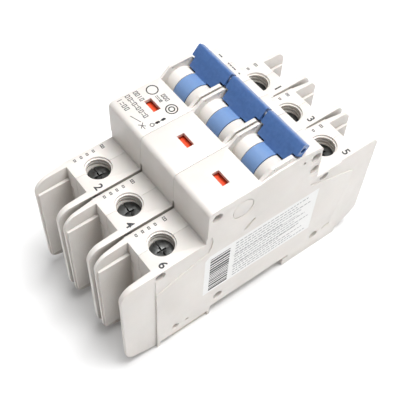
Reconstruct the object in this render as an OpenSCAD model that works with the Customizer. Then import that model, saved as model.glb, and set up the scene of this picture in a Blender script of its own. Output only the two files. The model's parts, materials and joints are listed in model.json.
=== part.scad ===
// Three-pole DIN-rail miniature circuit breaker with phase barriers at both ends.
// Frame: +X from pole 1 to pole 3, +Y towards the line terminals 1/3/5, +Z out of the front.
// z = 0 is the back of the housing, y = 0 the middle of the 35 mm rail, x = 0 the middle pole.
// At rest the handle is ON, the contacts are closed and the terminals are open.

/* [Poles] */
// Number of poles side by side
poles = 3; // [1:1:3]
// Distance from one pole to the next
pole_pitch = 17.7; // [17.5:0.1:18]
// Gap left between two neighbouring housings at the seam
pole_seam = 0.14; // [0.1:0.02:0.3]

/* [Housing] */
// Height of the terminal shoulders above the back
shoulder_z = 49.6; // [49:0.1:50]
// Height of the front cap above the back
cap_z = 65.8; // [65:0.1:66.5]
// Half length of the front cap
cap_half = 22.5; // [22:0.1:23]
// Distance of each terminal end wall from the rail's middle
end_wall_y = 41.5; // [41.2:0.1:42]
// Reach of the phase barriers on the load side
load_fin_y = 53.7; // [52:0.1:54]
// Reach of the phase barriers on the line side
line_fin_y = 51.3; // [50:0.1:52]
// Depth of the side relief beside the shoulders
side_relief = 0.43; // [0.2:0.01:0.5]
// Thickness of the left side wall
left_wall = 1.5; // [1.3:0.1:1.6]
// Thickness of the right side wall
right_wall = 1.8; // [1.6:0.1:1.9]
// Place of the joint between the two half shells, from the pole's middle
parting_x = -0.5; // [-0.6:0.1:-0.4]

/* [Rail] */
// Height of the rail seat above the back
rail_seat_z = 5.5; // [5.3:0.1:5.7]
// Width of the mounting rail
rail_width = 35; // [35:1:35]
// Travel of the rail clip when it is pulled back
clip_travel = 4.5; // [4:0.5:4.5]

/* [Handle] */
// Radius of the handle's drum
drum_r = 5.8; // [5.6:0.1:5.8]
// Slope of the handle's face when it is ON
face_slope = 50; // [49:1:51]
// Thickness of the handle's paddle
paddle_t = 3.2; // [3:0.1:3.2]
// Width of the handle's paddle
paddle_w = 16.8; // [16.4:0.1:16.8]
// Radius of the pin that ties the handles together
tie_pin_r = 0.9; // [0.8:0.1:1]

/* [Terminals] */
// Distance of the terminal screws from the rail's middle
screw_y = 33.3; // [33:0.1:33.5]
// Radius of the screw's access hole
access_r = 4.7; // [4.5:0.1:4.7]
// Radius of the screw's head
head_r = 3.9; // [3.7:0.1:3.9]
// Radius of the screw's thread
thread_r = 2.5; // [2.4:0.1:2.5]

/* [Hidden] */

$fn = 48;
eps = 0.01;            // overshoot of a cutting body past the face it cuts
fixed_gap = 0.02;      // gap between two pieces that are fixed to each other
far = 60;              // longer than any pole is wide or deep
half_w = (pole_pitch - pole_seam) / 2;
inner_left = -half_w + left_wall;
inner_right = half_w - right_wall;
mid_x = parting_x;     // the mechanism sits on the parting plane
parting_gap = 0.1;     // visible line between the half shells

housing_color = [0.93, 0.92, 0.90];
blue = [0.25, 0.42, 0.70];
steel = [0.72, 0.73, 0.75];
dark_steel = [0.32, 0.34, 0.36];
copper = [0.80, 0.45, 0.28];
brass = [0.80, 0.66, 0.36];

// Handle: the drum turns about this axis, and the face runs up from the drum to the tip.
toggle_y = 4.5;
toggle_z = 61.0;
drum_x0 = -3.35;
drum_x1 = 2.55;
drum_gap = 0.3;
tip_y = 13.0;
tip_z = 72.5;
face_wide = 4.4;       // length of the face's full-width part
face_long = 7.9;       // length of the face down to the drum
neck_x0 = -6.9;        // the narrower lower part of the paddle
neck_x1 = 6.6;
axle_r = 2.0;
axle_gap = 0.06;
axle_x0 = -5.6;
axle_x1 = 6.4;
spring_pocket = 2.9;   // depth of the pocket for the handle's spring
tie_from_tip = 2.1;    // distance of the tie pin below the tip
tie_recess = 3.0;      // depth of the pin's ends inside the outer paddles
tie_hole_r = tie_pin_r + 0.05;
trough_y0 = -2.8;      // the housing is open around the drum between these
trough_y1 = 13.2;
trough_z = 61.2;
cheek_r = 5.75;
ridge_z = 69.0;
sill_z = 66.4;         // top of the housing's side wall beside the handle

// Crank and link: the handle lifts the contact arm through a short link.
crank_r = 2.2;
crank_angle = -84.6;
crank = [toggle_y, toggle_z] + crank_r * [cos(crank_angle), sin(crank_angle)];
arm_axis = [-1, 43];
rocker_r = 6.53;
rocker_angle = 147.9;
rocker = arm_axis + rocker_r * [cos(rocker_angle), sin(rocker_angle)];
link_t = 0.8;
link_r = 0.6;          // half width of the link, and radius of its pins
link_slot = 1.1;       // width of the slot that it swings in
link_gap = 0.15;       // clearance left around the link where it swings inside the drum
link_start = 227.7;    // direction of the link in the drum when the handle is ON
link_stop = 158.5;     // and when it is OFF
arm_pin_r = 1.0;
arm_tip = [6.2, 27];
contact_face_y = 7.1;

// Indicator flag, trip lever and magnet.
flag_axis = [-11.6, 53.2];
flag_r = 10.5;
flag_half_w = 3.2;
window_w = 5.5;
window_l = 2.7;
window_y = -11.6;
lever_axis = [1, 51];
lever_x0 = 3.0;
lever_x1 = 5.2;
lever_pin_r = 0.9;
bar_pos = [-13, 45.5];
bar_r = 1.0;
coil_z = 40;
coil_y0 = 9.4;
coil_y1 = 22.7;
core_r = 2.2;
push_pin_r = 0.7;

// Terminals: the bar lies inside the lift clamp, and the screw's tip rests above the bar.
bar_z0 = 26.4;
bar_z1 = 28.2;
bar_half_w = 3.8;
head_z0 = 43.1;
head_z1 = 45.4;
shelf_z0 = 41.2;
shelf_z1 = 43.0;
clamp_top_z = 31.1;
clamp_bottom_z = 16.5;
clamp_half_w = 5.5;
clamp_half_l = 4.25;
well_half_w = 6.0;
well_y0 = 27.4;
well_y1 = 39.9;
well_z0 = 13.5;
entry_half_w = 4.3;
entry_z0 = 18.4;
entry_z1 = 26.3;

// Rail clip: a wide plate under the housing, held by a T-shaped rail in a slot.
clip_h = 2.8;
clip_front = -20.1;
clip_back = -34.6;
clip_half_w = 8.0;
clip_nose = -15.1;
clip_slot_y0 = -40.2;
clip_slot_y1 = -19.8;
recess_y0 = -18.8;
hook_lip_y = 15.1;
hook_lip_z = 4.0;
hook_y = rail_width / 2 + 0.1;

// Rivets and the plain locating holes, as [y, z] on the side of a pole.
rivets = [[-19.2, 61.7], [19.7, 61.9], [-39.6, 47.2], [26.7, 46.7], [-15.7, 10.8], [29.5, 8.6]];
locating_holes = [[20.2, 55.5, 1.8], [-33.8, 7.8, 1.4], [14.6, 62.6, 0.6], [-28.9, 7.5, 0.7]];
locating_depth = 1.2;
rivet_r = 1.2;
rivet_head_r = 1.7;
rivet_well_r = 1.9;
rivet_well_h = 2.2;
rivet_head_h = 0.6;
boss_r = 2.6;

// The label lies flush in a shallow recess.
label_t = 0.12;
label_outline = [[-22.6, 17.2], [25.4, 17.2], [25.4, 41.4], [-20.8, 41.4], [-22.6, 39.6]];

cavity_z0 = 8.0;
cavity_y = 25.2;
cavity_top = 47.6;
cap_cavity_y = 20.6;
cap_cavity_top = 64.6;

// ---------- helpers ----------

function polar(r, a) = r * [cos(a), sin(a)];

function arc(c, r, a0, a1, n = 6) = [for (i = [0:n]) c + polar(r, a0 + (a1 - a0) * i / n)];

// A [y, z] outline pulled along X from x0 to x1
module x_prism(x0, x1, points) {
    translate([x0, 0, 0]) rotate([90, 0, 90]) linear_extrude(x1 - x0) polygon(points);
}

module x_disc(x0, x1, centre, r) {
    translate([x0, centre[0], centre[1]]) rotate([0, 90, 0]) cylinder(r = r, h = x1 - x0);
}

module y_disc(y0, y1, x, z, r) {
    translate([x, y0, z]) rotate([-90, 0, 0]) cylinder(r = r, h = y1 - y0);
}

module block(low, high) {
    translate(low) cube(high - low);
}

module at_pole(i) {
    translate([(i - 2) * pole_pitch, 0, 0]) children();
}

module every_pole() {
    for (i = [1:poles]) at_pole(i) children();
}

// A straight bar with round ends between two [y, z] points
module round_bar(x0, x1, a, b, r) {
    d = b - a;
    n = [-d[1], d[0]] / norm(d) * r;
    x_prism(x0, x1, [a - n, b - n, b + n, a + n]);
    x_disc(x0, x1, a, r);
    x_disc(x0, x1, b, r);
}

// ---------- housing ----------

function core_outline() = concat(
    [[-end_wall_y, 0], [clip_slot_y0, 0], [clip_slot_y0, clip_h + 0.25],
     [clip_slot_y1, clip_h + 0.25], [clip_slot_y1, 0], [recess_y0, 0], [recess_y0, rail_seat_z],
     [hook_y, rail_seat_z], [hook_y, hook_lip_z], [hook_lip_y, hook_lip_z], [hook_lip_y, 1.4],
     [hook_lip_y + 1.4, 0], [end_wall_y, 0], [end_wall_y, shoulder_z],
     [cap_half + 0.1, shoulder_z]],
    arc([cap_half - 1.8, cap_z - 1.2], 1.2, 0, 90, 4),
    [[trough_y1, sill_z + 0.5], [trough_y1, trough_z], [trough_y0, trough_z], [trough_y0, cap_z]],
    arc([-cap_half + 1.8, cap_z - 1.8], 1.8, 90, 180, 6),
    [[-cap_half, shoulder_z], [-end_wall_y, shoulder_z]]
);

function load_relief() = [
    [-end_wall_y - 1, 37.1], [-33.6, 40.4], [-21.6, 44.0], [-20.5, 46.2], [-20.0, 49.5],
    [-20.6, 52.4], [-cap_half - 1, 53], [-end_wall_y - 1, shoulder_z + 1]
];

function line_relief() = [
    [20.4, 46.2], [end_wall_y + 1, 38.8], [end_wall_y + 1, shoulder_z + 1],
    [33.8, shoulder_z + 1], [33.4, 48.2], [20.2, 47.9]
];

function ridge_outline() = concat(
    [[trough_y0, trough_z - 1], [trough_y0 + 0.05, cap_z - 0.1]],
    arc([1.4, ridge_z - 1.2], 1.2, 135, 90, 3),
    arc([9.1, ridge_z - 0.8], 0.8, 90, 45, 3),
    [[11.6, sill_z], [11.6, trough_z - 1]]
);

function sill_outline() = [
    [trough_y0 - 0.2, trough_z - 1], [trough_y0 - 0.2, cap_z], [0, sill_z],
    [trough_y1 + 0.2, sill_z + 0.5], [trough_y1 + 0.2, trough_z - 1]
];

function load_fin_outline() = concat(
    [[-end_wall_y + 1.5, 0.8], [-end_wall_y + 1.5, shoulder_z]],
    arc([-load_fin_y + 5, shoulder_z - 5], 5, 90, 180, 8),
    arc([-load_fin_y + 4.6, 8.4], 4.4, 180, 262, 6)
);

function line_fin_outline() = concat(
    [[end_wall_y - 1.5, shoulder_z], [end_wall_y - 1.5, 1.0], [42.1, 1.4], [49.8, 6.6]],
    arc([line_fin_y - 0.9, 8.8], 1.2, -45, 0, 3),
    arc([line_fin_y - 3.4, shoulder_z - 3.4], 3.4, 0, 90, 6)
);

// Plan of the left barrier and of the right one, as [x, |y|], with the relief already taken off
function left_fin_plan(reach) = [
    [-half_w + side_relief, end_wall_y - 1.5], [-7.0, reach - 2.4], [-6.85, reach + 1],
    [-5.85, reach + 1], [-6.25, end_wall_y - 1.5]
];

function right_fin_plan(reach) = [
    [5.95, end_wall_y - 1.5], [6.75, reach + 1], [8.2, reach + 1], [8.35, reach - 3],
    [half_w - side_relief, end_wall_y - 1.5]
];

module fin(outline, plan, side) {
    intersection() {
        x_prism(-half_w, half_w, outline);
        linear_extrude(shoulder_z + 1)
            polygon([for (p = plan) [p[0], side * p[1]]]);
    }
}

// The thicker middle field on the inside of each left barrier, with a ledge at its top
module fin_ledge(side, reach) {
    set_in = 0.7;
    y0 = side > 0 ? end_wall_y - 1 : -reach + set_in;
    block([-6.3, y0, 7.6], [-5.1, y0 + reach - end_wall_y + 1 - set_in, 44.0]);
}

module fins() {
    fin(load_fin_outline(), left_fin_plan(load_fin_y), -1);
    fin(load_fin_outline(), right_fin_plan(load_fin_y), -1);
    fin(line_fin_outline(), left_fin_plan(line_fin_y), 1);
    fin(line_fin_outline(), right_fin_plan(line_fin_y), 1);
    fin_ledge(-1, load_fin_y);
    fin_ledge(1, line_fin_y);
}

// White cheeks, ridges and sills beside the handle's drum
module cheeks() {
    x_disc(-half_w, half_w, [toggle_y, toggle_z], cheek_r);
    x_prism(-half_w, -7.85, sill_outline());
    x_prism(6.95, half_w, sill_outline());
    x_prism(-half_w, -7.85, ridge_outline());
    x_prism(6.95, 8.15, ridge_outline());
}

module side_reliefs() {
    for (points = [load_relief(), line_relief()]) {
        x_prism(half_w - side_relief, far, points);
    }
    x_prism(-far, -half_w + side_relief, load_relief());
    // the left barrier leans in before the end wall on the line side
    linear_extrude(shoulder_z + 1)
        polygon([[-half_w - 1, 33.8], [-half_w + 0.1, 33.8],
                 [-half_w + side_relief, end_wall_y - 1.4], [-half_w + side_relief, end_wall_y + 1],
                 [-half_w - 1, end_wall_y + 1]]);
}

// Pits in the side for the rivet heads, and blind locating holes
module side_holes() {
    for (p = rivets) {
        x_disc(-far, far, p, rivet_r + 0.03);
        x_disc(half_w - rivet_well_h, far, p, rivet_well_r);
        x_disc(-far, -half_w + rivet_well_h, p, rivet_well_r);
    }
    for (h = locating_holes) x_disc(half_w - locating_depth, far, [h[0], h[1]], h[2]);
    // shallow rings around the two holes at the line end of the cap
    for (p = [rivets[1], locating_holes[0]]) x_disc(half_w - 0.1, far, [p[0], p[1]], 3.1);
    // upright groove where the load-side barrier begins
    block([half_w - side_relief - 0.2, -42.2, -1], [far, -41.4, 45.8]);
    // a shallow round recess with a rim, a slanted slot and a short slot on the right side
    x_disc(half_w - 0.12, far, [-9.1, 58.1], 4.1);
    difference() {
        x_disc(half_w - 0.35, far, [-9.1, 58.1], 4.1);
        x_disc(0, far, [-9.1, 58.1], 3.8);
    }
    for (y = [1.9, 8.0]) x_disc(-far, far, [y, 68], 0.3);
    round_bar(half_w - 1.2, far, [-7.0, 45.0], [-3.6, 48.0], 0.6);
    round_bar(half_w - 0.9, far, [34.0, 9.3], [36.6, 9.9], 0.6);
}

// Screw access hole, with tilted grooves moulded in its wall like a coarse thread
module access_hole(side) {
    groove_h = 0.7;
    groove_tilt = 5;
    land_r = access_r - 0.5;
    translate([0, side * screw_y, 0]) {
        translate([0, 0, shelf_z1]) cylinder(r = head_r + 0.2, h = far);
        translate([0, 0, shoulder_z - 0.8]) cylinder(r = access_r, h = far);
        translate([0, 0, shoulder_z - 3.8]) cylinder(r = land_r, h = far);
        for (depth = [1.9, 3.3])
            translate([0, 0, shoulder_z - depth]) rotate([-groove_tilt, groove_tilt, 0])
                cylinder(r = access_r, h = groove_h, center = true);
        translate([0, 0, shelf_z0 - 1]) cylinder(r = thread_r + 0.2, h = far);
    }
}

// Well for the lift clamp, the wire entry and the slot that holds the terminal bar
module terminal_well(side) {
    module between(x, y0, y1, z0, z1) {
        a = min(side * y0, side * y1);
        b = max(side * y0, side * y1);
        block([-x, a, z0], [x, b, z1]);
    }
    between(well_half_w, well_y0, well_y1, well_z0, shelf_z0);
    between(entry_half_w, well_y1 - 1, end_wall_y + 1, entry_z0, entry_z1);
    between(5.0, end_wall_y - 0.7, end_wall_y + 1, 14.0, 41.0);
    between(bar_half_w + 0.05, cavity_y - 1, well_y0 + 1, bar_z0 - 0.05, bar_z1 + 0.05);
}

// Slot and T-shaped cavity for the rail clip, and the openings for its nose and tab
module clip_guides() {
    block([-2.85, clip_slot_y0 + 0.4, 0], [2.85, clip_slot_y1, 5]);
    block([-4.65, clip_slot_y0 + 0.4, 4.2], [4.65, clip_slot_y1, 6.1]);
    block([-5.45, clip_slot_y1 - clip_travel - 0.6, -1], [5.45, recess_y0 + 1, 4.5]);
    block([-4.75, -end_wall_y - 1, -1], [4.75, clip_slot_y0 + 1, 2.5]);
}

// Space for the mechanism, with bosses left standing around the rivets
module mechanism_cavity() {
    difference() {
        union() {
            block([inner_left, -cavity_y, cavity_z0], [inner_right, cavity_y, cavity_top]);
            block([inner_left, -cap_cavity_y, cavity_top - 1], [inner_right, cap_cavity_y, 60]);
            block([inner_left, -cap_cavity_y, 59], [inner_right, trough_y0 - 1.4, cap_cavity_top]);
        }
        for (p = rivets) x_disc(-far, far, p, boss_r);
        for (x = [[-far, drum_x0 - drum_gap], [drum_x1 + drum_gap, far]])
            x_disc(x[0], x[1], [toggle_y, toggle_z], cheek_r);
    }
}

// Slot that the drum turns in, and its bearings
module drum_slot() {
    x0 = drum_x0 - drum_gap;
    x1 = drum_x1 + drum_gap;
    x_disc(x0, x1, [toggle_y, toggle_z], drum_r + 0.25);
    block([x0, toggle_y - 5.2, 50], [x1, toggle_y + 5.2, toggle_z]);
    x_disc(axle_x0 - 0.2, axle_x1 + 0.2, [toggle_y, toggle_z], axle_r + axle_gap);
    x_disc(x1 - eps, x1 + spring_pocket, [toggle_y, toggle_z], 4.1);
}

module indicator_window() {
    block([-window_w / 2 - 0.15, window_y - window_l / 2, cap_cavity_top - 1],
          [window_w / 2 - 0.15, window_y + window_l / 2, cap_z + 1]);
}

// Openings through the inner walls for the bar that joins the trip levers
module trip_window(side) {
    x0 = side > 0 ? inner_right - 1 : -far;
    x1 = side > 0 ? far : inner_left + 1;
    block([x0, bar_pos[0] - 2.6, bar_pos[1] - 1.5], [x1, bar_pos[0] + 1.7, bar_pos[1] + 4.6]);
}

module pole_housing(i) {
    difference() {
        union() {
            difference() {
                union() {
                    x_prism(-half_w, half_w, core_outline());
                    cheeks();
                }
                side_reliefs();
            }
            fins();
        }
        side_holes();
        for (side = [-1, 1]) {
            access_hole(side);
            terminal_well(side);
        }
        clip_guides();
        mechanism_cavity();
        drum_slot();
        indicator_window();
        if (i > 1) trip_window(-1);
        if (i < poles) trip_window(1);
        if (i == poles) x_prism(half_w - label_t, far, label_outline);
        // a hollow behind the line terminal saves material
        block([-6.4, well_y0 + 4.8, 2.4], [6.2, well_y1, 11.4]);
    }
}

// The cap's skin belongs to the right shell, so that no joint line crosses the cap.
module cap_skin(grow) {
    z0 = shoulder_z + 0.4 - grow;
    block([-far, -far, z0], [far, -cap_half + 1.4 + grow, 80]);
    block([-far, -far, cap_z - 1.5 - grow], [far, trough_y0 + 0.02, 80]);
}

module case_left(i) {
    color(housing_color) at_pole(i) difference() {
        pole_housing(i);
        block([parting_x - parting_gap / 2, -far, -1], [far, far, 80]);
        cap_skin(fixed_gap);
    }
}

module case_right(i) {
    color(housing_color) at_pole(i) intersection() {
        pole_housing(i);
        union() {
            block([parting_x + parting_gap / 2, -far, -1], [far, far, 80]);
            cap_skin(0);
        }
    }
}

module case_rivets() {
    color(steel) every_pole() for (p = rivets) difference() {
        union() {
            x_disc(-half_w + rivet_well_h, half_w - rivet_well_h, p, rivet_r);
            x_disc(-half_w + rivet_well_h - rivet_head_h, -half_w + rivet_well_h, p, rivet_head_r);
            x_disc(half_w - rivet_well_h, half_w - rivet_well_h + rivet_head_h, p, rivet_head_r);
        }
        x_disc(-far, far, p, 0.8);
    }
}

module side_label() {
    color("white") at_pole(poles) x_prism(half_w - label_t, half_w, label_outline);
}

// ---------- handle ----------

face_dir = [cos(face_slope), sin(face_slope)];
face_back = [sin(face_slope), -cos(face_slope)];
tip = [tip_y, tip_z];

// A point on the paddle: s below the tip along the face, t behind the face
function on_face(s, t) = tip - s * face_dir + t * face_back;
tie_centre = on_face(tie_from_tip, paddle_t / 2);

// Wedge that the link sweeps inside the drum
function link_sweep() = let (
        margin = link_r + link_gap,
        lower = crank + polar(margin, link_start + 90),
        upper = crank + polar(margin, link_stop - 90),
        reach = 2 * drum_r
    ) concat(
        [upper, lower, lower + polar(reach, link_start)],
        arc(crank, reach, link_start, link_stop, 4),
        [upper + polar(reach, link_stop)]
    );

module toggle(i) {
    r_tip = 0.5;
    color(blue) at_pole(i) difference() {
        union() {
            x_disc(drum_x0, drum_x1, [toggle_y, toggle_z], drum_r);
            x_disc(axle_x0, axle_x1, [toggle_y, toggle_z], axle_r);
            // full-width upper part, with its tip edges rounded
            x_prism(-paddle_w / 2, paddle_w / 2, concat(
                [on_face(face_wide, 0), on_face(face_wide, paddle_t)],
                arc(on_face(r_tip, paddle_t - r_tip), r_tip, face_slope - 90, face_slope, 3),
                arc(on_face(r_tip, r_tip), r_tip, face_slope, face_slope + 90, 3)));
            x_prism(neck_x0, neck_x1, [on_face(face_wide - 0.5, 0), on_face(face_long, 0),
                on_face(face_long, paddle_t - 0.9), on_face(face_long - 0.9, paddle_t),
                on_face(face_wide - 0.5, paddle_t)]);
            x_prism(drum_x0, drum_x1, [on_face(face_long - 0.5, 0), on_face(face_long + 5, 0),
                on_face(face_long + 5, paddle_t), on_face(face_long - 1, paddle_t)]);
        }
        x_disc(-far, far, tie_centre, tie_hole_r);
        x_disc(-far, far, crank, link_r + 0.06);
        x_prism(mid_x - link_slot / 2, mid_x + link_slot / 2, link_sweep());
        x_disc(mid_x - link_slot / 2, mid_x + link_slot / 2, crank, link_r + link_gap);
    }
}

module toggle_tie_pin() {
    reach = pole_pitch * (poles - 1) / 2 + paddle_w / 2 - tie_recess;
    color(steel) x_disc(-reach, reach, tie_centre, tie_pin_r);
}

// The turns of a torsion spring about X, as separate closed rings
module torsion_spring(x0, coils, centre, r, wire_r) {
    pitch = 2.15 * wire_r;
    translate([x0 + wire_r, centre[0], centre[1]]) rotate([0, 90, 0])
        for (k = [0:coils - 1]) translate([0, 0, k * pitch])
            rotate_extrude() translate([r, 0]) circle(r = wire_r, $fn = 24);
}

module toggle_springs() {
    color(steel) every_pole() torsion_spring(drum_x1 + drum_gap + 0.1, 4,
        [toggle_y, toggle_z], 2.8, 0.3);
}

module toggle_link(i) {
    color(steel) at_pole(i) union() {
        round_bar(mid_x - link_t / 2, mid_x + link_t / 2, crank, rocker, link_r);
        x_disc(drum_x0 + 0.3, drum_x1 - 0.3, crank, link_r);
        x_disc(mid_x - 2.1, mid_x + 2.1, rocker, link_r);
    }
}

// ---------- contacts ----------

module contact_arm(i) {
    fork_in = 0.7;
    fork_out = 2.2;
    color(copper) at_pole(i) difference() {
        union() {
            for (s = [[-fork_out, -fork_in], [fork_in, fork_out]])
                round_bar(mid_x + s[0], mid_x + s[1], arm_axis, rocker, 2.1);
            x_disc(mid_x - fork_out, mid_x + fork_out, arm_axis, 2.4);
            x_prism(mid_x - 1.1, mid_x + 1.1, [arm_axis + [-1.4, 0], arm_tip + [-1.9, 0.4],
                arm_tip + [-1.6, -2.2], arm_tip + [-0.1, -2.6], arm_tip + [0, 1.7],
                arm_axis + [1.4, 0]]);
            // silver contact button
            block([mid_x - 1.8, arm_tip[0] - 0.2, arm_tip[1] - 1.5],
                  [mid_x + 1.8, contact_face_y - 0.05, arm_tip[1] + 1.5]);
        }
        x_disc(-far, far, arm_axis, arm_pin_r + 0.05);
        x_disc(-far, far, rocker, 1.4);
    }
}

module arm_springs() {
    color(steel) every_pole() torsion_spring(inner_left + 0.4, 5, arm_axis, 1.6, 0.3);
}

module fixed_contacts() {
    y0 = contact_face_y + 1;
    color(copper) every_pole() union() {
        block([mid_x - 2.6, y0, 23.6], [mid_x + 2.6, y0 + 1.4, 33.2]);
        block([mid_x - 2.6, y0, 31.8], [mid_x + 2.6, 22.4, 33.2]);
        block([mid_x - 1.8, contact_face_y + 0.05, arm_tip[1] - 1.5],
              [mid_x + 1.8, y0 + eps, arm_tip[1] + 1.5]);
    }
}

module terminal_bars() {
    color(copper) every_pole() {
        // line side, turned up to meet the coil
        union() {
            block([-bar_half_w, 23.6, bar_z0], [bar_half_w, 38.2, bar_z1]);
            block([-bar_half_w + 1, 23.6, bar_z0], [bar_half_w - 1, 25.0, 33.6]);
        }
        block([-bar_half_w, -38.2, bar_z0], [bar_half_w, -21.6, bar_z1]);
        // bracket under the load side's bar, which carries the bimetal's foot
        difference() {
            union() {
                block([mid_x - 2.6, -23, 10], [mid_x + 2.6, -21.6, bar_z0 - fixed_gap]);
                block([mid_x - 2.6, -23, 10], [mid_x + 2.6, -20.25, 11.4]);
            }
            y_disc(-24, -21, mid_x, 15.5, 1.15);
        }
    }
}

module bimetals() {
    color(brass) every_pole() union() {
        block([mid_x - 2.4, -20.2, 10], [mid_x + 2.4, -19.3, 43]);
        // hook at the tip that pulls the trip lever
        block([mid_x - 2.4, -20.2, 42], [4.9, -17.4, 43]);
    }
}

module calibration_screws() {
    color(brass) every_pole() difference() {
        union() {
            y_disc(-24.9, -23.02, mid_x, 15.5, 1.9);
            y_disc(-23.02, -20.25, mid_x, 15.5, 1.1);
        }
        block([mid_x - 0.3, -26, 13], [mid_x + 0.3, -24.2, 18]);
    }
}

module braid(i) {
    braid_r = 0.9;
    centre = [-9.86, 38.2];
    sweep_r = 8.5;
    color(copper) at_pole(i) translate([mid_x, centre[0], centre[1]])
        rotate([0, 90, 0]) rotate([0, 0, -90]) rotate_extrude(angle = 180)
            translate([sweep_r, 0]) circle(r = braid_r);
}

// ---------- arc chute ----------

plate_pitch = 2.3;
plate_count = 10;
plate_y0 = -5;

module arc_splitter_plates() {
    color(dark_steel) every_pole() for (k = [0:plate_count - 1])
        translate([mid_x, plate_y0 + plate_pitch * k, 0]) rotate([90, 0, 0])
            linear_extrude(0.9, center = true)
                polygon([[-5.2, 9.8], [5.2, 9.8], [5.2, 21.6], [2.2, 21.6], [0.4, 17],
                         [-0.4, 17], [-2.2, 21.6], [-5.2, 21.6]]);
}

module arc_chute_frames() {
    color([0.75, 0.70, 0.60]) every_pole() for (s = [-1, 1])
        translate([mid_x + s * 5.65, 0, 0])
            block([-0.4, plate_y0 - 1.2, 9.4],
                  [0.4, plate_y0 + plate_pitch * (plate_count - 1) + 1.2, 22.2]);
}

module arc_runners() {
    color(steel) every_pole() union() {
        x_prism(mid_x - 2.4, mid_x + 2.4, [[8.1, 23.5], [8.1, 22.6], [17.6, 22.6], [18.4, 21.4],
            [18.4, 9.6], [19.4, 9.6], [19.4, 22], [18, 23.5]]);
        block([mid_x - 2.4, -8.4, 9.6], [mid_x + 2.4, -7.4, 23.0]);
    }
}

// ---------- magnetic trip ----------

module coil_windings() {
    turns = 7;
    wire_r = 0.78;
    coil_r = 4.1;
    first_y = coil_y0 + 1.0 + wire_r;
    pitch = (coil_y1 - coil_y0 - 2.0 - 2 * wire_r) / (turns - 1);
    color(copper) every_pole() for (k = [0:turns - 1])
        translate([mid_x, first_y + k * pitch, coil_z]) rotate([90, 0, 0])
            rotate_extrude() translate([coil_r, 0]) circle(r = wire_r, $fn = 24);
}

module coil_bobbins() {
    color([0.85, 0.84, 0.78]) every_pole() difference() {
        union() {
            y_disc(coil_y0 + 0.1, coil_y1 - 0.1, mid_x, coil_z, 3.1);
            y_disc(coil_y0 + 0.1, coil_y0 + 0.9, mid_x, coil_z, 5.2);
            y_disc(coil_y1 - 0.9, coil_y1 - 0.1, mid_x, coil_z, 5.2);
        }
        y_disc(0, 30, mid_x, coil_z, core_r + 0.06);
    }
}

module magnet_yokes() {
    color(steel) every_pole() difference() {
        union() {
            block([mid_x - 4, coil_y0 - 1.2, 45.5], [mid_x + 4, coil_y1 + 1.2, 46.9]);
            block([mid_x - 4, coil_y0 - 1.2, 34.6], [mid_x + 4, coil_y0, 46.9]);
            block([mid_x - 4, coil_y1, 34.6], [mid_x + 4, coil_y1 + 1.2, 46.9]);
        }
        y_disc(0, coil_y0 + 1, mid_x, coil_z, core_r + 0.02);
    }
}

module magnet_cores() {
    color(dark_steel) every_pole() difference() {
        y_disc(coil_y0 - 1.2, coil_y0 + 5, mid_x, coil_z, core_r);
        y_disc(0, 30, mid_x, coil_z, push_pin_r + 0.08);
    }
}

module plunger(i) {
    color(dark_steel) at_pole(i) union() {
        y_disc(coil_y0 + 6.7, coil_y1 - 0.3, mid_x, coil_z, core_r - 0.02);
        y_disc(7.4, coil_y0 + 7, mid_x, coil_z, push_pin_r);
    }
}

// ---------- trip lever ----------

module trip_lever(i) {
    color([0.85, 0.60, 0.20]) at_pole(i) difference() {
        union() {
            x_disc(lever_x0, lever_x1, lever_axis, 2.0);
            x_prism(lever_x0, lever_x1, [lever_axis + [-1.2, 0], [4.4, 41.4], [4.4, 38.8],
                [5.6, 38.8], [5.6, 41.8], lever_axis + [1.3, 0]]);
            x_prism(lever_x0, lever_x1, [lever_axis + [0, 1.3], bar_pos + [-0.4, 1.9],
                bar_pos + [0.4, -1.9], lever_axis + [0, -1.5]]);
            x_disc(lever_x0, lever_x1, bar_pos, 1.9);
            // striker pad in front of the plunger's pin
            block([mid_x - 1.4, 4.4, 38.8], [lever_x1, 5.6, 41.4]);
        }
        x_disc(-far, far, lever_axis, lever_pin_r + 0.05);
        x_disc(-far, far, bar_pos, bar_r + 0.05);
    }
}

module trip_bar() {
    first = (1 - 2) * pole_pitch + lever_x0 - 0.2;
    last = (poles - 2) * pole_pitch + lever_x1 + 0.2;
    color(steel) x_disc(first, last, bar_pos, bar_r);
}

module pivot_pins() {
    pins = [[arm_axis, arm_pin_r], [lever_axis, lever_pin_r], [flag_axis, 0.8]];
    color(steel) every_pole() for (p = pins) x_disc(inner_left, inner_right, p[0], p[1]);
}

module indicator_flag(i) {
    flag_x = -0.15;
    color([0.90, 0.28, 0.16]) at_pole(i) difference() {
        union() {
            x_disc(flag_x - 1.6, flag_x + 1.6, flag_axis, 1.8);
            x_prism(flag_x - 0.8, flag_x + 0.8, [flag_axis + [-1.2, 0], flag_axis + [1.2, 0],
                flag_axis + [2.6, flag_r - 0.9], flag_axis + [-0.8, flag_r - 0.6]]);
            x_prism(flag_x - flag_half_w, flag_x + flag_half_w, concat(
                arc(flag_axis, flag_r, 66, 114, 12), arc(flag_axis, flag_r - 1, 114, 66, 12)));
        }
        x_disc(-far, far, flag_axis, 0.86);
    }
}

// ---------- rail clip ----------

module rail_clip(i) {
    color([0.78, 0.74, 0.68]) at_pole(i) difference() {
        union() {
            block([-clip_half_w, clip_back, 0], [clip_half_w, clip_front, clip_h]);
            block([-2.6, clip_back, clip_h - 1], [2.6, clip_front, 4.6]);
            block([-4.4, clip_back, 4.4], [4.4, clip_front, 5.8]);
            x_prism(-5.2, 5.2, [[clip_front - 1, 0], [clip_nose - 2.2, 0], [clip_nose, 2.2],
                [clip_nose, 4.0], [clip_front + 0.4, 4.0], [clip_front - 0.2, clip_h],
                [clip_front - 1, clip_h]]);
            block([-4.5, -46.5, 0], [4.5, clip_back + 1, 2.2]);
        }
        // slot for a screwdriver's blade
        block([-2.6, -44.9, -1], [2.6, -43.1, 4]);
    }
}

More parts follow.
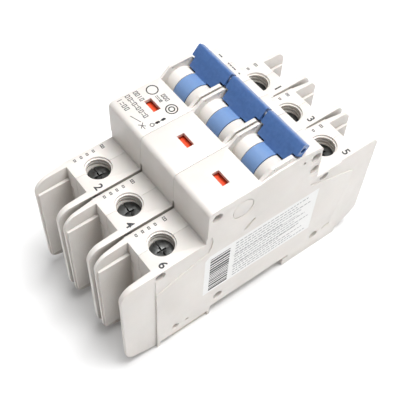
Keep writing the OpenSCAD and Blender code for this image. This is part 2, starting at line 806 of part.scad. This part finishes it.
// ---------- terminals ----------

module terminal_screw(i, side) {
    slot_w = 0.6;
    cross_w = 0.6;
    color(dark_steel) at_pole(i) translate([0, side * screw_y, 0]) difference() {
        union() {
            translate([0, 0, head_z0]) cylinder(r = head_r, h = head_z1 - head_z0);
            translate([0, 0, bar_z1 + 0.15]) cylinder(r = thread_r, h = head_z0 - bar_z1);
        }
        block([-far, -slot_w / 2, head_z1 - 0.6], [far, slot_w / 2, far]);
        for (a = [0, 90]) rotate([0, 0, a])
            block([-1.7, -cross_w / 2, head_z1 - 1.1], [1.7, cross_w / 2, far]);
    }
}

module lift_clamp(i, side) {
    wall = 1.4;
    top_t = 2.2;
    bottom_t = 1.8;
    color(steel) at_pole(i) translate([0, side * screw_y, 0]) difference() {
        block([-clamp_half_w, -clamp_half_l, clamp_bottom_z],
              [clamp_half_w, clamp_half_l, clamp_top_z]);
        block([-clamp_half_w + wall, -far, clamp_bottom_z + bottom_t],
              [clamp_half_w - wall, far, clamp_top_z - top_t]);
        cylinder(r = thread_r + 0.05, h = far);
    }
}

module line_screw(i) { terminal_screw(i, 1); }
module load_screw(i) { terminal_screw(i, -1); }
module line_clamp(i) { lift_clamp(i, 1); }
module load_clamp(i) { lift_clamp(i, -1); }

// ---------- the assembly ----------

case_left(1);  // case_left_1
case_left(2);  // case_left_2
case_left(3);  // case_left_3
case_right(1);  // case_right_1
case_right(2);  // case_right_2
case_right(3);  // case_right_3
case_rivets();
toggle(1);  // toggle_1
toggle(2);  // toggle_2
toggle(3);  // toggle_3
toggle_tie_pin();
toggle_springs();
toggle_link(1);  // toggle_link_1
toggle_link(2);  // toggle_link_2
toggle_link(3);  // toggle_link_3
contact_arm(1);  // contact_arm_1
contact_arm(2);  // contact_arm_2
contact_arm(3);  // contact_arm_3
arm_springs();
indicator_flag(1);  // indicator_flag_1
indicator_flag(2);  // indicator_flag_2
indicator_flag(3);  // indicator_flag_3
rail_clip(1);  // rail_clip_1
rail_clip(2);  // rail_clip_2
rail_clip(3);  // rail_clip_3
line_screw(1);  // line_screw_1
line_screw(2);  // line_screw_2
line_screw(3);  // line_screw_3
load_screw(1);  // load_screw_1
load_screw(2);  // load_screw_2
load_screw(3);  // load_screw_3
line_clamp(1);  // line_clamp_1
line_clamp(2);  // line_clamp_2
line_clamp(3);  // line_clamp_3
load_clamp(1);  // load_clamp_1
load_clamp(2);  // load_clamp_2
load_clamp(3);  // load_clamp_3
plunger(1);  // plunger_1
plunger(2);  // plunger_2
plunger(3);  // plunger_3
trip_lever(1);  // trip_lever_1
trip_lever(2);  // trip_lever_2
trip_lever(3);  // trip_lever_3
trip_bar();
pivot_pins();
coil_windings();
coil_bobbins();
magnet_yokes();
magnet_cores();
fixed_contacts();
terminal_bars();
bimetals();
calibration_screws();
arc_splitter_plates();
arc_chute_frames();
arc_runners();
braid(1);  // braid_1
braid(2);  // braid_2
braid(3);  // braid_3
side_label();
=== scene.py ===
"""Looks, light and camera for the three-pole circuit breaker. Metres, in the CAD frame."""

import json
import math
import random

import bpy
from mathutils import Matrix, Vector


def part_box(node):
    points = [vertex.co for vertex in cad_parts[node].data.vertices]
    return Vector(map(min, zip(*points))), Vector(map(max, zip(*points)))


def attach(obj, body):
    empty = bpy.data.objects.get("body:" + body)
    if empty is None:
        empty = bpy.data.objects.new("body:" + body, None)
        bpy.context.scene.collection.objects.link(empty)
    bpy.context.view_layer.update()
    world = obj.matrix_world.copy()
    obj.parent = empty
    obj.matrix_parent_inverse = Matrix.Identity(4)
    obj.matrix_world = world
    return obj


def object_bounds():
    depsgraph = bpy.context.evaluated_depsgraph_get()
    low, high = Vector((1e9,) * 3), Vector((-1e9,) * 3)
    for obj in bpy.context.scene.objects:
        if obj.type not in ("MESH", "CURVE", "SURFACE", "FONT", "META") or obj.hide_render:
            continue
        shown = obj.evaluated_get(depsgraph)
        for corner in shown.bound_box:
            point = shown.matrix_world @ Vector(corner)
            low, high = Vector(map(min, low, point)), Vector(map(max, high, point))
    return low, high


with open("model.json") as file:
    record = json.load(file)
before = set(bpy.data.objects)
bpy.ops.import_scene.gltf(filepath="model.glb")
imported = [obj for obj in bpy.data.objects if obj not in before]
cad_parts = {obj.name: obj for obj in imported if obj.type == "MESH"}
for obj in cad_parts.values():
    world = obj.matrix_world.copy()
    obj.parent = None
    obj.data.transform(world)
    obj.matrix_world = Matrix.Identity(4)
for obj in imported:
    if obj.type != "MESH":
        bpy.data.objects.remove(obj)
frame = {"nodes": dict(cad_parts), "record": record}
cad_box = [list(corner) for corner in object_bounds()]

MM = 0.001
POLES = (1, 2, 3)
random.seed(7)


# ---------- positions from the frame ----------

def pole_x(i):
    """The middle of a pole, which its screws stand on."""
    low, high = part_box(f"line_screw_{i}")
    return (low[0] + high[0]) / 2


def screw_y(i, side):
    low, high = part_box(f"{side}_screw_{i}")
    return (low[1] + high[1]) / 2


def top_of(node, near_y, far_y):
    """The highest point of a node between two places along Y."""
    piece = frame["nodes"][node]
    corners = [piece.matrix_world @ vertex.co for vertex in piece.data.vertices]
    return max(corner.z for corner in corners if near_y < corner.y < far_y)


def named(part, name):
    """One mount or joint of the record, by its name."""
    return next(entry for entry in part if entry["name"] == name)


LOAD_Y = screw_y(1, "load")
SHOULDER_Z = top_of("case_right_1", LOAD_Y - 6 * MM, LOAD_Y + 6 * MM)
CAP_Z = top_of("case_right_1", -20 * MM, -5 * MM)
END_WALL_Y = named(frame["record"]["mounts"], "line_terminal_1")["pos_m"][1]
JOINTS = frame["record"]["behaviour"]["joints"]
HANDLE_AXIS = named(JOINTS, "handle_turn")["pos_m"]
FLAG_AXIS = named(JOINTS, "indicator_flag_1_turn")["pos_m"]
# with the handle on, the windows show the part of each flag that is ahead of this place
FLAG_SPLIT_Y = FLAG_AXIS[1] - 1.7 * MM
# the drum's painted sheen ends just outside the handle's drum
DRUM_R = 5.85 * MM


# ---------- materials ----------

def new_material(name):
    material = bpy.data.materials.new(name)
    material.use_nodes = True
    tree = material.node_tree
    shader = tree.nodes["Principled BSDF"]
    coords = tree.nodes.new("ShaderNodeTexCoord")
    return material, tree, shader, coords


def noise(tree, coords, scale, detail=4, stretch=None):
    """Noise in object space; stretch makes it run along an axis."""
    node = tree.nodes.new("ShaderNodeTexNoise")
    node.inputs["Scale"].default_value = scale
    node.inputs["Detail"].default_value = detail
    source = coords.outputs["Object"]
    if stretch:
        mapping = tree.nodes.new("ShaderNodeMapping")
        mapping.inputs["Scale"].default_value = stretch
        tree.links.new(source, mapping.inputs["Vector"])
        source = mapping.outputs["Vector"]
    tree.links.new(source, node.inputs["Vector"])
    return node.outputs["Fac"]


def ramp(tree, factor, low, high, start=0.3, stop=0.7):
    node = tree.nodes.new("ShaderNodeValToRGB")
    node.color_ramp.elements[0].position = start
    node.color_ramp.elements[0].color = (*low, 1)
    node.color_ramp.elements[1].position = stop
    node.color_ramp.elements[1].color = (*high, 1)
    tree.links.new(factor, node.inputs["Fac"])
    return node.outputs["Color"]


def spread(tree, factor, low, high):
    node = tree.nodes.new("ShaderNodeMapRange")
    node.inputs["From Min"].default_value = 0.3
    node.inputs["From Max"].default_value = 0.7
    node.inputs["To Min"].default_value = low
    node.inputs["To Max"].default_value = high
    tree.links.new(factor, node.inputs["Value"])
    return node.outputs["Result"]


def bump(tree, shader, height, distance, strength):
    node = tree.nodes.new("ShaderNodeBump")
    node.inputs["Distance"].default_value = distance
    node.inputs["Strength"].default_value = strength
    tree.links.new(height, node.inputs["Height"])
    tree.links.new(node.outputs["Normal"], shader.inputs["Normal"])


def moulded_plastic(name, low, high, rough, mottle=70, grain=2600, depth=0.03 * MM):
    """Moulded plastic: faint blotches in colour and gloss, and a fine eroded grain."""
    material, tree, shader, coords = new_material(name)
    blotch = noise(tree, coords, mottle)
    tree.links.new(ramp(tree, blotch, low, high), shader.inputs["Base Color"])
    smear = noise(tree, coords, 210, stretch=(1, 3, 1))
    tree.links.new(spread(tree, smear, rough - 0.07, rough + 0.07), shader.inputs["Roughness"])
    bump(tree, shader, noise(tree, coords, grain, 2), depth, 0.35)
    shader.inputs["Subsurface Weight"].default_value = 0.06
    shader.inputs["Subsurface Scale"].default_value = 1.2 * MM
    return material


def mix(tree, factor, first, second, blend="MIX"):
    """Two colours mixed; the factor is a socket, and None stands for full strength."""
    node = tree.nodes.new("ShaderNodeMix")
    node.data_type = "RGBA"
    node.blend_type = blend
    if factor is None:
        node.inputs["Factor"].default_value = 1
    else:
        tree.links.new(factor, node.inputs["Factor"])
    tree.links.new(first, node.inputs["A"])
    if isinstance(second, tuple):
        node.inputs["B"].default_value = (*second, 1)
    else:
        tree.links.new(second, node.inputs["B"])
    return node.outputs["Result"]


def maths(tree, operation, value, number=0):
    node = tree.nodes.new("ShaderNodeMath")
    node.operation = operation
    node.inputs[1].default_value = number
    tree.links.new(value, node.inputs[0])
    return node.outputs[0]


def vector_maths(tree, operation, value, vector=(0, 0, 0)):
    node = tree.nodes.new("ShaderNodeVectorMath")
    node.operation = operation
    node.inputs[1].default_value = vector
    tree.links.new(value, node.inputs[0])
    return node


def place_y(tree):
    """The Y of the shaded point, in the CAD's frame."""
    place = tree.nodes.new("ShaderNodeSeparateXYZ")
    tree.links.new(tree.nodes["Texture Coordinate"].outputs["Object"], place.inputs["Vector"])
    return place.outputs["Y"]


def recolour(material, change):
    """Passes a material's base colour through a function of its tree and that colour."""
    tree = material.node_tree
    base = tree.nodes["Principled BSDF"].inputs["Base Color"]
    tree.links.new(change(tree, base.links[0].from_socket), base)
    return material


def shaded_recesses(tree, clean):
    """Painted shade: recesses are darkened by ambient occlusion, most of all in the pockets between
    the phase barriers.
    """
    reach, samples, fully_open = 28 * MM, 8, 0.55
    # colours of the painted shade in the pockets, in other recesses, and in the open
    pocket, hole, bare = (0.36, 0.335, 0.31), (0.80, 0.79, 0.76), (1, 1, 1)
    openness = tree.nodes.new("ShaderNodeAmbientOcclusion")
    openness.samples = samples
    openness.inputs["Distance"].default_value = reach
    seen = openness.outputs["AO"]
    from_middle = maths(tree, "ABSOLUTE", place_y(tree))
    in_pocket = maths(tree, "GREATER_THAN", from_middle, END_WALL_Y - 0.2 * MM)
    painted_shade = mix(tree, in_pocket, ramp(tree, seen, hole, bare, 0, fully_open),
               ramp(tree, seen, pocket, bare, 0, fully_open))
    return mix(tree, None, clean, painted_shade, "MULTIPLY")


def red_and_green(tree, red):
    """Red where the window shows the flag with the handle on, green behind that for off."""
    behind = maths(tree, "LESS_THAN", place_y(tree), FLAG_SPLIT_Y)
    return mix(tree, behind, red, (0.03, 0.32, 0.09))


def painted_drum_sheen(tree, blue):
    """Painted sheen: the handle's drum, near its axis, is painted paler than the paddle, in place
    of the highlight its gloss catches.
    """
    # strength and colour of the painted sheen, and how fast it fades past the drum
    sheen_strength, sheen_blue, fade = 0.62, (0.22, 0.36, 0.62), 0.3 * MM
    place = tree.nodes["Texture Coordinate"].outputs["Object"]
    from_axis = vector_maths(tree, "SUBTRACT", place, HANDLE_AXIS)
    across = vector_maths(tree, "MULTIPLY", from_axis.outputs["Vector"], (0, 1, 1))
    radius = vector_maths(tree, "LENGTH", across.outputs["Vector"])
    near = tree.nodes.new("ShaderNodeMapRange")
    near.inputs["From Min"].default_value = DRUM_R
    near.inputs["From Max"].default_value = DRUM_R + fade
    near.inputs["To Min"].default_value = sheen_strength
    near.inputs["To Max"].default_value = 0
    tree.links.new(radius.outputs["Value"], near.inputs["Value"])
    return mix(tree, near.outputs["Result"], blue, sheen_blue)


def handle_plastic():
    """Blue plastic under a thin gloss, with a painted sheen on the drum."""
    material = moulded_plastic("handle_plastic", (0.050, 0.126, 0.330), (0.065, 0.154, 0.388), 0.36,
                               mottle=900)
    shader = material.node_tree.nodes["Principled BSDF"]
    shader.inputs["Coat Weight"].default_value = 0.5
    shader.inputs["Coat Roughness"].default_value = 0.3
    # the drum is painted paler as a sheen
    return recolour(material, painted_drum_sheen)


def metal(name, low, high, rough, stretch=(1, 1, 12)):
    """Plated or rolled metal: drawn lines along one axis, and cloudy tarnish."""
    material, tree, shader, coords = new_material(name)
    tree.links.new(ramp(tree, noise(tree, coords, 330), low, high), shader.inputs["Base Color"])
    lines = noise(tree, coords, 900, stretch=stretch)
    tree.links.new(spread(tree, lines, rough - 0.1, rough + 0.12), shader.inputs["Roughness"])
    bump(tree, shader, lines, 0.02 * MM, 0.4)
    shader.inputs["Metallic"].default_value = 1.0
    return material


def fibre_sheet(name, low, high, rough=0.85, grain=1500):
    """Pressed fibre or paper: flecks and a matt, felted grain."""
    material, tree, shader, coords = new_material(name)
    flecks = noise(tree, coords, grain, 6)
    tree.links.new(ramp(tree, flecks, low, high), shader.inputs["Base Color"])
    tree.links.new(spread(tree, flecks, rough - 0.08, rough + 0.08), shader.inputs["Roughness"])
    bump(tree, shader, flecks, 0.02 * MM, 0.3)
    return material


MATERIALS = {
    # the housing's colour carries painted shade in its recesses
    "housing": recolour(moulded_plastic("housing_plastic", (0.72, 0.685, 0.65),
                                        (0.765, 0.73, 0.695), 0.42), shaded_recesses),
    "handle": handle_plastic(),
    "flag": recolour(moulded_plastic("flag_plastic", (0.86, 0.075, 0.02), (0.92, 0.10, 0.03), 0.42),
                     red_and_green),
    "clip_plastic": moulded_plastic("clip_plastic", (0.52, 0.47, 0.39), (0.60, 0.55, 0.46), 0.5),
    "inner_plastic": moulded_plastic("inner_plastic", (0.55, 0.50, 0.38), (0.62, 0.57, 0.45), 0.5),
    "screw_steel": metal("screw_dark_zinc", (0.055, 0.056, 0.055), (0.15, 0.153, 0.15), 0.36,
                         stretch=(1, 1, 1)),
    "zinc_steel": metal("zinc_plate", (0.50, 0.51, 0.53), (0.68, 0.69, 0.70), 0.32),
    "copper": metal("bare_copper", (0.62, 0.27, 0.15), (0.82, 0.42, 0.26), 0.34),
    "bimetal": metal("bimetal_strip", (0.58, 0.45, 0.24), (0.74, 0.62, 0.38), 0.36),
    "fibre": fibre_sheet("pressed_fibre", (0.42, 0.34, 0.24), (0.56, 0.47, 0.35)),
    "label": fibre_sheet("label_paper", (0.84, 0.84, 0.83), (0.90, 0.90, 0.89), 0.5, grain=2400),
}
INK = fibre_sheet("printed_ink", (0.025, 0.025, 0.028), (0.06, 0.06, 0.065), 0.55, grain=3000)
GREY_INK = fibre_sheet("grey_ink", (0.17, 0.17, 0.18), (0.25, 0.25, 0.26), 0.55, grain=3000)


# ---------- CAD nodes ----------

# rounding of each slot's sharp edges, in millimetres
EDGE_WIDTH = {"housing": 0.07, "handle": 0.16, "clip_plastic": 0.15, "screw_steel": 0.05}
SMOOTH_ANGLE = math.radians(32)


def smooth_by_angle(piece):
    """Curved faces shade smoothly and corners stay crisp, worked out by geometry nodes."""
    group = bpy.data.node_groups.get("smooth_by_angle")
    if not group:
        group = bpy.data.node_groups.new("smooth_by_angle", "GeometryNodeTree")
        group.interface.new_socket("Mesh", in_out="INPUT", socket_type="NodeSocketGeometry")
        group.interface.new_socket("Mesh", in_out="OUTPUT", socket_type="NodeSocketGeometry")
        start, end = group.nodes.new("NodeGroupInput"), group.nodes.new("NodeGroupOutput")
        angle = group.nodes.new("GeometryNodeInputMeshEdgeAngle")
        flat = group.nodes.new("FunctionNodeCompare")
        flat.data_type = "FLOAT"
        flat.operation = "LESS_THAN"
        flat.inputs[1].default_value = SMOOTH_ANGLE
        shade_edges = group.nodes.new("GeometryNodeSetShadeSmooth")
        shade_edges.domain = "EDGE"
        shade_faces = group.nodes.new("GeometryNodeSetShadeSmooth")
        shade_faces.domain = "FACE"
        link = group.links.new
        link(angle.outputs["Unsigned Angle"], flat.inputs[0])
        link(start.outputs[0], shade_edges.inputs["Geometry"])
        link(flat.outputs["Result"], shade_edges.inputs["Shade Smooth"])
        link(shade_edges.outputs[0], shade_faces.inputs["Geometry"])
        link(shade_faces.outputs[0], end.inputs[0])
    piece.modifiers.new("smooth", "NODES").node_group = group


def soften_edges(piece, width):
    """Joins the split corners and rounds the sharp edges a little, as a mould or a die does."""
    weld = piece.modifiers.new("weld", "WELD")
    weld.merge_threshold = 0.002 * MM
    edge = piece.modifiers.new("edge", "BEVEL")
    edge.width = width * MM
    edge.segments = 2
    edge.limit_method = "ANGLE"
    edge.angle_limit = math.radians(40)
    smooth_by_angle(piece)


for part in frame["record"]["subparts"]:
    node, slot = part["node"], part["material_slot"]
    piece = frame["nodes"][node]
    piece.data.materials.clear()
    piece.data.materials.append(MATERIALS[slot])
    if slot in EDGE_WIDTH:
        soften_edges(piece, EDGE_WIDTH[slot])


# ---------- printed marks ----------

INK_T = 0.02 * MM
LINE = 0.24 * MM
BLOCK_FACES = [(0, 1, 3, 2), (4, 6, 7, 5), (0, 4, 5, 1), (2, 3, 7, 6), (0, 2, 6, 4), (1, 5, 7, 3)]


def block(low, high):
    """The eight corners of an upright block."""
    return [(x, y, z) for x in (low[0], high[0]) for y in (low[1], high[1])
            for z in (low[2], high[2])]


def add_piece(name, mesh):
    piece = bpy.data.objects.new(name, mesh)
    bpy.context.collection.objects.link(piece)
    return piece


def print_blocks(name, blocks, material, body):
    """One printed piece made of many thin blocks, each given by its eight corners."""
    vertices, faces = [], []
    for corners in blocks:
        faces += [tuple(len(vertices) + k for k in side) for side in BLOCK_FACES]
        vertices += corners
    mesh = bpy.data.meshes.new(name)
    mesh.from_pydata(vertices, [], faces)
    mesh.materials.append(material)
    piece = add_piece(name, mesh)
    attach(piece, body)


def stamp(name, word, place, height, body="housing"):
    """A generic number printed flat on an upward face."""
    curve = bpy.data.curves.new(name, "FONT")
    curve.body = word
    curve.size = height / 0.7
    curve.align_x = "CENTER"
    curve.align_y = "CENTER"
    curve.extrude = INK_T / 2
    curve.offset = 0.09 * MM
    source = bpy.data.objects.new(name + "_curve", curve)
    mesh = bpy.data.meshes.new_from_object(source)
    bpy.data.objects.remove(source)
    mesh.transform(Matrix.Translation(place))
    mesh.materials.clear()
    mesh.materials.append(INK)
    piece = add_piece(name, mesh)
    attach(piece, body)


def terminal_numbers():
    """Even numbers on the load side's shoulders and odd ones on the line side's."""
    height, aside, outward = 2.8 * MM, 6.5 * MM, 4.2 * MM
    for i in POLES:
        x = pole_x(i) + aside
        stamp(f"number_{2 * i}", str(2 * i),
              (x, screw_y(i, "load") - outward, SHOULDER_Z), height)
        stamp(f"number_{2 * i - 1}", str(2 * i - 1),
              (x, screw_y(i, "line") + outward, SHOULDER_Z), height)


def stroke(a, b, z, wide):
    """The corners of one thin printed line between two [x, y] points."""
    along = (Vector(b) - Vector(a)).normalized() * wide / 2
    across = Vector((-along.y, along.x))
    ends = ((Vector(a) - along), (Vector(b) + along))
    return [(*(end + side * across), z + up) for end in ends for side in (-1, 1)
            for up in (0, INK_T)]


def frame_mark(x, y, z, wide, long):
    """Four thin lines round a rectangle."""
    corners = [(x + sx * wide / 2, y + sy * long / 2)
               for sx, sy in ((-1, -1), (1, -1), (1, 1), (-1, 1))]
    return [stroke(corners[k - 1], corners[k], z, LINE) for k in range(4)]


def ring(x, y, z, radius, line=LINE, parts=20):
    """A circle of short lines."""
    points = [(x + radius * math.cos(math.tau * k / parts),
               y + radius * math.sin(math.tau * k / parts)) for k in range(parts)]
    return [stroke(points[k - 1], points[k], z, line) for k in range(parts)]


def false_text(start, end, y, z, high):
    """A row of plain frames and bars along X, as wide as a word, that spell nothing."""
    marks = []
    x = start + high * 0.3
    while x < end:
        kind = random.choice(("frame", "frame", "bar", "pair"))
        if kind == "frame":
            marks += frame_mark(x, y, z, high * 0.5, high)
        elif kind == "bar":
            marks.append(stroke((x, y - high / 2), (x, y + high / 2), z, LINE))
        else:
            for side in (-1, 1):
                at = y + side * high / 3
                marks.append(stroke((x - high / 4, at), (x + high / 4, at), z, LINE))
        x += high * random.uniform(0.75, 1.0)
    return marks


def breaker_symbol(x, y):
    """A leaning contact, a cross, and the line that goes on from it."""
    cross = Vector((x, y))
    marks = [stroke(cross + Vector((-5.2, -0.8)) * MM, cross + Vector((-1.5, 0.5)) * MM,
                    CAP_Z, LINE),
             stroke(cross, cross + Vector((1.7, 0)) * MM, CAP_Z, LINE)]
    for tilt in (-1, 1):
        arm = Vector((0.8, 0.8 * tilt)) * MM
        marks.append(stroke(cross - arm, cross + arm, CAP_Z, LINE))
    return marks


def beaded_line(x, y):
    """A small ring, then a line along Y with two short thick bars on it."""
    marks = ring(x, y, CAP_Z, 0.65 * MM, parts=10)
    marks.append(stroke((x + 0.1 * MM, y + 0.9 * MM), (x + 0.2 * MM, y + 5.0 * MM), CAP_Z, LINE))
    for bead_y in (y + 2.0 * MM, y + 4.2 * MM):
        bead_x = x + 0.15 * MM
        marks.append(stroke((bead_x, bead_y - 0.2 * MM), (bead_x, bead_y + 0.2 * MM),
                            CAP_Z, 0.9 * MM))
    return marks


def slope_marks(x0):
    """Small marks behind the handle, laid on the slope at the cap's line end."""
    slope_start, slope_end, marks_y = 13.2 * MM, 20.7 * MM, 19.6 * MM
    low = top_of("case_right_1", slope_end - 1 * MM, slope_end + 1 * MM)
    high = top_of("case_right_1", slope_start - 1 * MM, slope_start + 1 * MM)
    fall = (high - low) / (slope_end - slope_start)
    marks = []
    for x, long in ((-5.0, 1.3), (-0.6, 0.3), (0.5, 0.5), (1.6, 0.3), (2.6, 0.5), (5.0, 0.3)):
        start, end = x0 + (x - long / 2) * MM, x0 + (x + long / 2) * MM
        corners = stroke((start, marks_y), (end, marks_y), low, 0.45 * MM)
        marks.append([(cx, cy, cz + (slope_end - cy) * fall) for cx, cy, cz in corners])
    return marks


# rows of false text on the cap, as start, end and y from the pole's middle, and height, in mm
CAP_ROWS = ((-8.1, -3.2, -19.1, 1.5), (-8.1, 3.0, -16.0, 1.5), (-8.0, -3.6, -13.0, 1.4),
            (-1.9, 1.2, -6.4, 1.3), (-2.6, 0.8, -8.4, 0.9))
# plain rings on the cap, as x, y and radius, in mm
CAP_RINGS = ((4.8, -7.6, 1.9), (4.8, -7.6, 0.95), (-5.5, -7.9, 1.9))


def cap_print():
    """Everything that is printed on the first pole's cap."""
    x0 = pole_x(1)
    marks = []
    for start, end, y, high in CAP_ROWS:
        marks += false_text(x0 + start * MM, x0 + end * MM, y * MM, CAP_Z, high * MM)
    marks += breaker_symbol(x0 + 5.0 * MM, -19.1 * MM)
    marks += beaded_line(x0 + 6.6 * MM, -16.4 * MM)
    for x, y, radius in CAP_RINGS:
        marks += ring(x0 + x * MM, y * MM, CAP_Z, radius * MM, 0.36 * MM)
    marks += slope_marks(x0)
    print_blocks("cap_print", marks, INK, "housing")


def dashes(start, length, dash, gap):
    """Uneven runs along a line, as the words of a printed line would be."""
    runs, at = [], start
    while at < start + length:
        run = dash * random.uniform(0.6, 1.6)
        runs.append((at, min(at + run, start + length)))
        at += run + gap
    return runs


def label_print():
    """Upright stripes and plain grey lines on the side label; no readable text."""
    low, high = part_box("side_label")
    x = high[0]
    stripe_y0, stripe_y1 = low[1] + 2.2 * MM, low[1] + 10.2 * MM
    stripes = []
    z = low[2] + 1.2 * MM
    while z < high[2] - 2.6 * MM:
        wide = random.choice((0.45, 0.7, 1.1)) * MM
        stripes.append(block((x, stripe_y0, z), (x + INK_T, stripe_y1, z + wide)))
        z += wide + random.choice((0.45, 0.7)) * MM
    print_blocks("label_stripes", stripes, INK, "housing")
    rows, row_pitch, longest = 13, 1.7, 33 * MM
    lines = []
    for row in range(rows):
        z = low[2] + (1.6 + row_pitch * row) * MM
        reach = longest * (1.0, 0.8, 0.94, 0.62, 0.88)[row % 5]
        for a, b in dashes(low[1] + 12.5 * MM, reach, 1.1 * MM, 0.45 * MM):
            lines.append(block((x, a, z), (x + INK_T, b, z + 0.4 * MM)))
    # two long lines across the rows, as a table would have
    for z in (low[2] + 8.0 * MM, low[2] + 14.8 * MM):
        lines.append(block((x, low[1] + 12 * MM, z), (x + INK_T, low[1] + 40 * MM, z + 0.2 * MM)))
    print_blocks("label_lines", lines, GREY_INK, "housing")


# small frames beside each screw, as side, distance along Y from the screw, and size, in mm
SHOULDER_MARKS = (("load", -4.7, 0.9), ("load", -2.3, 0.9), ("load", 0, 0.9), ("load", 2.4, 0.9),
                  ("load", 5.9, 1.4), ("line", 1.5, 0.9), ("line", 5.0, 1.3))


def shoulder_print():
    """A row of small plain frames beside each screw hole; the larger ones have a bar inside."""
    marks = []
    for i in POLES:
        x = pole_x(i) - 6.8 * MM
        for side, step, size in SHOULDER_MARKS:
            y = screw_y(i, side) + step * MM
            long = size * 0.6 * MM
            marks += frame_mark(x, y, SHOULDER_Z, size * MM, long)
            if size > 1:
                marks.append(stroke((x, y - long / 2), (x, y + long / 2), SHOULDER_Z, LINE))
    print_blocks("shoulder_print", marks, INK, "housing")


terminal_numbers()
shoulder_print()
cap_print()
label_print()


# ---------- floor, light and camera ----------

def floor():
    half = 3.0
    mesh = bpy.data.meshes.new("floor")
    z = cad_box[0][2]
    mesh.from_pydata([(-half, -half, z), (half, -half, z), (half, half, z), (-half, half, z)],
                     [], [(0, 1, 2, 3)])
    material, tree, shader, coords = new_material("floor_paper")
    shade = ramp(tree, noise(tree, coords, 3), (0.92, 0.92, 0.92), (0.94, 0.94, 0.94))
    tree.links.new(shade, shader.inputs["Base Color"])
    shader.inputs["Roughness"].default_value = 0.9
    mesh.materials.append(material)
    piece = add_piece("floor", mesh)


def softbox(name, place, size, power, target=(0, 0, 0.03)):
    light = bpy.data.lights.new(name, "AREA")
    light.shape = "DISK"
    light.size = size
    light.energy = power
    piece = bpy.data.objects.new(name, light)
    piece.location = place
    aim = Vector(target) - Vector(place)
    piece.rotation_euler = aim.to_track_quat("-Z", "Y").to_euler()
    bpy.context.collection.objects.link(piece)


def world_light(strength):
    world = bpy.data.worlds.new("studio")
    world.use_nodes = True
    background = world.node_tree.nodes["Background"]
    background.inputs["Color"].default_value = (1, 1, 1, 1)
    background.inputs["Strength"].default_value = strength
    bpy.context.scene.world = world


def camera():
    """The view of the photograph: from the load end and the label side, high up."""
    place = (0.119, -0.1043, 0.2483)
    azimuth, elevation, roll = (math.radians(a) for a in (49.94, 55.9, 3.81))
    forward = Vector((-math.cos(elevation) * math.sin(azimuth),
                      math.cos(elevation) * math.cos(azimuth), -math.sin(elevation)))
    level = Vector((math.cos(azimuth), math.sin(azimuth), 0))
    up = level.cross(forward)
    right = math.cos(roll) * level + math.sin(roll) * up
    top = math.cos(roll) * up - math.sin(roll) * level
    data = bpy.data.cameras.new("camera")
    data.sensor_width = 36
    data.lens = 69.07
    data.shift_x = 0.0022
    data.shift_y = 0.0375
    piece = bpy.data.objects.new("camera", data)
    turn = Matrix((right, top, -forward)).transposed().to_4x4()
    piece.matrix_world = Matrix.Translation(place) @ turn
    bpy.context.collection.objects.link(piece)
    bpy.context.scene.camera = piece


floor()
bpy.context.scene.view_settings.view_transform = "Standard"
world_light(0.28)
softbox("top_softbox", (0.1, 0.2, 0.93), size=0.6, power=10.8)
softbox("right_softbox", (0.9, 0.15, 0.45), size=0.5, power=0.9)
softbox("sheen_softbox", (-0.43, -0.54, 0.77), size=0.3, power=0.25)
camera()
